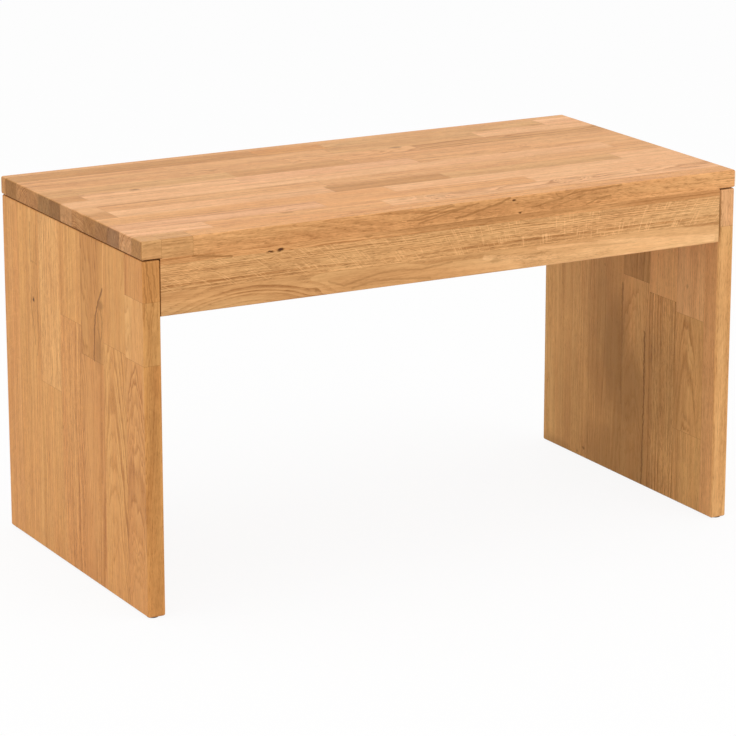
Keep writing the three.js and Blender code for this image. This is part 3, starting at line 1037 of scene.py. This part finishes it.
cam_radius = 7.5
cam_half = 7
cam_foot_chamfer = 0.6
cam_face_chamfer = 0.5
cam_round_share = 0.3
cam_rim = 0.9
cam_dish = 0.3
cam_face = cam_half - cam_dish
cam_profile = [
    (cam_radius - cam_foot_chamfer, -cam_half), (cam_radius, cam_foot_chamfer - cam_half),
    (cam_radius, cam_half - cam_face_chamfer),
    (cam_radius - cam_round_share * cam_face_chamfer, cam_half - cam_round_share * cam_face_chamfer),
    (cam_radius - cam_face_chamfer, cam_half), (cam_radius - cam_rim, cam_half),
    (cam_radius - cam_rim - cam_dish, cam_face),
]
# The claw is the hollow below the face that takes the bolt's head, through a mouth at the side
claw_radius = 4.3
claw_top = 3
claw_chamfer = 0.6
mouth_width = 4.4
cross_long = 7
cross_wide = 1.4
cross_deep = 2.4
pointer_wide = 1
pointer_deep = 0.3
pointer_from_rim = 1.3
pointer_long = 1.1
zinc_tone = linear(186, 188, 190)
skin_depth = 0.05 * MM

# The bolt lies along Z with its head's end at 0 and its point below
bolt_length = 47.5
point_radius = 0.4
point_length = 1.2
thread_root = 1.9
thread_crest = 2.5
thread_land = 0.2
thread_pitch = 1.6
thread_ridges = 6
collar_radius = 3.5
collar_bottom = -36.5
collar_top = -8.4
collar_chamfer = 0.3
neck_root = 2
neck_radius = 1.8
head_radius = 3.2
head_bottom = -4.4
head_chamfer = 0.3
head_dome = 0.5
steel_tone = linear(205, 202, 190)


def cut_from(piece, cutter):
    """Takes the cutter's shape out of a piece, and the cutter out of the scene."""
    apply_modifier(piece, "BOOLEAN", operation="DIFFERENCE", solver="EXACT", object=cutter)
    bpy.data.objects.remove(cutter)


def cut_block(piece, low, high, quarter_turns=0):
    """Takes a block between two corners, in millimetres, out of a piece."""
    cutter = block("cutter", Vector(low) * MM, Vector(high) * MM)
    edit(cutter)
    bpy.ops.mesh.select_all(action="SELECT")
    bpy.ops.transform.rotate(value=quarter_turns * math.pi / 2, orient_axis="Z", center_override=(0, 0, 0))
    bpy.ops.object.mode_set(mode="OBJECT")
    cut_from(piece, cutter)


def fitting_metal(name, tone, roughness, grain_size):
    """Bare or plated metal, a little uneven in colour and gloss, with a fine cast or plated skin."""
    metal = Finish(bpy.data.materials.new(name))
    place = metal.place_in_mm()
    skin = metal.noise(place, 1 / grain_size, 3, 0.6)
    stains = metal.noise(place, 0.25, 2)
    metal.dress({
        "Base Color": metal.scaled(tone, 0.85 + stains * 0.2 + skin * 0.1),
        "Metallic": 1,
        "Roughness": roughness + (stains - 0.5) * 0.2 + (skin - 0.5) * 0.15,
        "Normal": metal.bump(skin, skin_depth, 0.5),
    })
    return metal.holder


cam = turned("cam", cam_profile)
past_cam = 2 * cam_half
for turns in (0, 1):
    cut_block(cam, (-cross_long / 2, -cross_wide / 2, cam_face - cross_deep),
              (cross_long / 2, cross_wide / 2, past_cam), turns)
cut_from(cam, turned("claw", [(claw_radius, -past_cam), (claw_radius, claw_top),
                              (claw_radius - claw_chamfer, claw_top + claw_chamfer)]))
cut_block(cam, (-mouth_width / 2, 0, -past_cam), (mouth_width / 2, past_cam, claw_top))
pointer_end = cam_radius - pointer_from_rim
cut_block(cam, (-pointer_wide / 2, pointer_end - pointer_long, cam_face - pointer_deep),
          (pointer_wide / 2, pointer_end, past_cam))
smooth(cam)
cam.data.materials.append(fitting_metal("cast_zinc", zinc_tone, 0.42, 0.6))

thread_start = point_length - bolt_length
bolt_profile = [(point_radius, -bolt_length), (thread_root, thread_start)]
for ridge in range(thread_ridges):
    middle = thread_start + (ridge + 0.5) * thread_pitch
    bolt_profile += [(thread_crest, middle - thread_land / 2), (thread_crest, middle + thread_land / 2),
                     (thread_root, middle + thread_pitch / 2)]
bolt_profile += [
    (neck_root, collar_bottom), (collar_radius - collar_chamfer, collar_bottom),
    (collar_radius, collar_bottom + collar_chamfer), (collar_radius, collar_top - collar_chamfer),
    (collar_radius - collar_chamfer, collar_top), (neck_radius, collar_top),
    (neck_radius, head_bottom), (head_radius - head_chamfer, head_bottom),
    (head_radius, head_bottom + head_chamfer), (head_radius, -head_dome), (head_radius - head_dome, 0),
]
bolt = turned("bolt", bolt_profile)
smooth(bolt)
bolt.data.materials.append(fitting_metal("plated_steel", steel_tone, 0.3, 0.3))

# Each cam faces the middle of the bench, and its mouth opens towards its bolt
for node in sorted(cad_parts):
    low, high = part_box(node)
    middle = (low + high) / 2
    in_apron = "_apron_" in node
    to_middle = unit(Y, -math.copysign(1, middle.y)) if in_apron else unit(X, -math.copysign(1, middle.x))
    to_bolt = unit(X, math.copysign(1, middle.x)) if in_apron else unit(Z)
    if node.endswith("_cam"):
        put(cam, f"{node}_zinc", node, middle, to_bolt, to_middle)
    elif node.endswith("_bolt"):
        head_end = middle - to_bolt * (high - low)[long_axis(node)] / 2
        put(bolt, f"{node}_plated", node, head_end, to_middle, -to_bolt)
bpy.data.objects.remove(cam)
bpy.data.objects.remove(bolt)


# The glides. Moulded plastic soles of 14 mm, one near each end of the side panels, with a barbed
# shank pushed up into the wood. They keep the panels 1.5 mm off the floor.

sole_radius = 7
sole_height = 1.5
sole_edge = [(6.2, 0), (6.6, 0.1), (6.85, 0.3), (sole_radius, 0.6), (sole_radius, 1.2), (6.7, sole_height)]
dimple_radius = 1
dimple_depth = 0.3
shank_radius = 2.2
barb_radius = 2.6
barb_height = 0.4
barb_pitch = 2
barb_count = 3
first_barb = 3.4
shank_tip = (1.5, 11.5)
glide_tone = linear(74, 51, 38)

glide_profile = [(dimple_radius - dimple_depth, dimple_depth), (dimple_radius, 0), *sole_edge,
                 (barb_radius, sole_height), (shank_radius, sole_height + barb_height)]
for barb in range(barb_count):
    bottom = first_barb + barb * barb_pitch
    glide_profile += [(shank_radius, bottom), (barb_radius, bottom + barb_height)]
glide_profile += [(shank_radius, first_barb + barb_count * barb_pitch), shank_tip]

glide = turned("glide", glide_profile)
smooth(glide)
moulded = Finish(bpy.data.materials.new("moulded_brown"))
place = moulded.place_in_mm()
skin = moulded.noise(place, 2.5, 2)
scuffs = moulded.step(moulded.noise(place, 0.6, 3, 0.7), 0.55, 0.7)
moulded.dress({
    "Base Color": moulded.scaled(glide_tone, 0.9 + scuffs * 0.5),
    "Roughness": 0.5 + scuffs * 0.2 + skin * 0.1,
    "Normal": moulded.bump(skin, skin_depth, 0.5),
})
glide.data.materials.append(moulded.holder)
for node in sorted(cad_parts):
    if node.startswith("glide_"):
        low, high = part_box(node)
        sole = (low + high) / 2
        sole.z = low.z
        put(glide, f"{node}_moulded", node, sole, unit(Y), unit(Z))
bpy.data.objects.remove(glide)


# The floor, the light and the camera. A pale studio floor that turns to white for the camera and
# keeps the bench's shadow, a white surround, and three broad lamps: left, front right and above.

floor_size = 60
floor_white_share = 0.9
floor_grey = 0.9
surround_strength = 0.88
# Where each lamp stands, its width in metres and its power in watts
lamps = [((-2.4, 0.2, 1.1), 1.6, 8), ((1.2, -2.2, 1.7), 1.8, 10), ((0.2, -0.4, 2.6), 2.4, 10)]
camera_turn = -0.5031
camera_lift = 0.268
camera_distance = 4.2592
camera_target = Vector((-2.4 * MM, 0, 201.2 * MM))
camera_lens = 166.77
camera_sensor = 36


def seen_directly(finish):
    """1 for what the camera sees, straight or in a reflection, and 0 for the light that falls."""
    kinds = [finish.node("LightPath", {}, {}, kind)
             for kind in ("Is Camera Ray", "Is Glossy Ray", "Is Transmission Ray")]
    return finish.math("MINIMUM", kinds[0] + kinds[1] + kinds[2], 1)


deselect()
bpy.ops.mesh.primitive_plane_add(size=floor_size)
floor = bpy.context.object
floor.name = "floor"
pale_floor = Finish(bpy.data.materials.new("pale_floor"))
pale_floor.dress({
    "Base Color": (floor_grey, floor_grey, floor_grey, 1),
    "Roughness": 0.9,
    "Specular IOR Level": 0,
})
white = pale_floor.node("Emission", {}, {"Strength": 1})
lit = Wire(pale_floor, pale_floor.tree.nodes["Principled BSDF"].outputs[0])
shown = pale_floor.node("MixShader", {}, {0: seen_directly(pale_floor) * floor_white_share, 1: lit, 2: white})
pale_floor.plug(pale_floor.own("Material Output", "Surface"), shown)
floor.data.materials.append(pale_floor.holder)
floor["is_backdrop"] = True

for lamp_place, lamp_size, lamp_watts in lamps:
    bpy.ops.object.light_add(type="AREA", location=lamp_place)
    lamp = bpy.context.object
    lamp.data.size = lamp_size
    lamp.data.energy = lamp_watts
    lamp.rotation_mode = "QUATERNION"
    lamp.rotation_quaternion = (camera_target - Vector(lamp_place)).to_track_quat("-Z", "Y")

surround = Finish(bpy.data.worlds.new("white_surround"))
surround.plug(surround.own("Background", "Color"), (1, 1, 1, 1))
surround.plug(surround.own("Background", "Strength"),
              seen_directly(surround) * (1 - surround_strength) + surround_strength)
bpy.context.scene.world = surround.holder

back = Vector((math.sin(camera_turn) * math.cos(camera_lift), -math.cos(camera_turn) * math.cos(camera_lift),
               math.sin(camera_lift)))
bpy.ops.object.camera_add(location=camera_target + back * camera_distance)
camera = bpy.context.object
camera.rotation_mode = "QUATERNION"
camera.rotation_quaternion = (-back).to_track_quat("-Z", "Y")
camera.data.lens = camera_lens
camera.data.sensor_width = camera_sensor
camera.data.clip_end = floor_size
bpy.context.scene.camera = camera
bpy.context.scene.view_settings.view_transform = "Standard"

low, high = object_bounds()
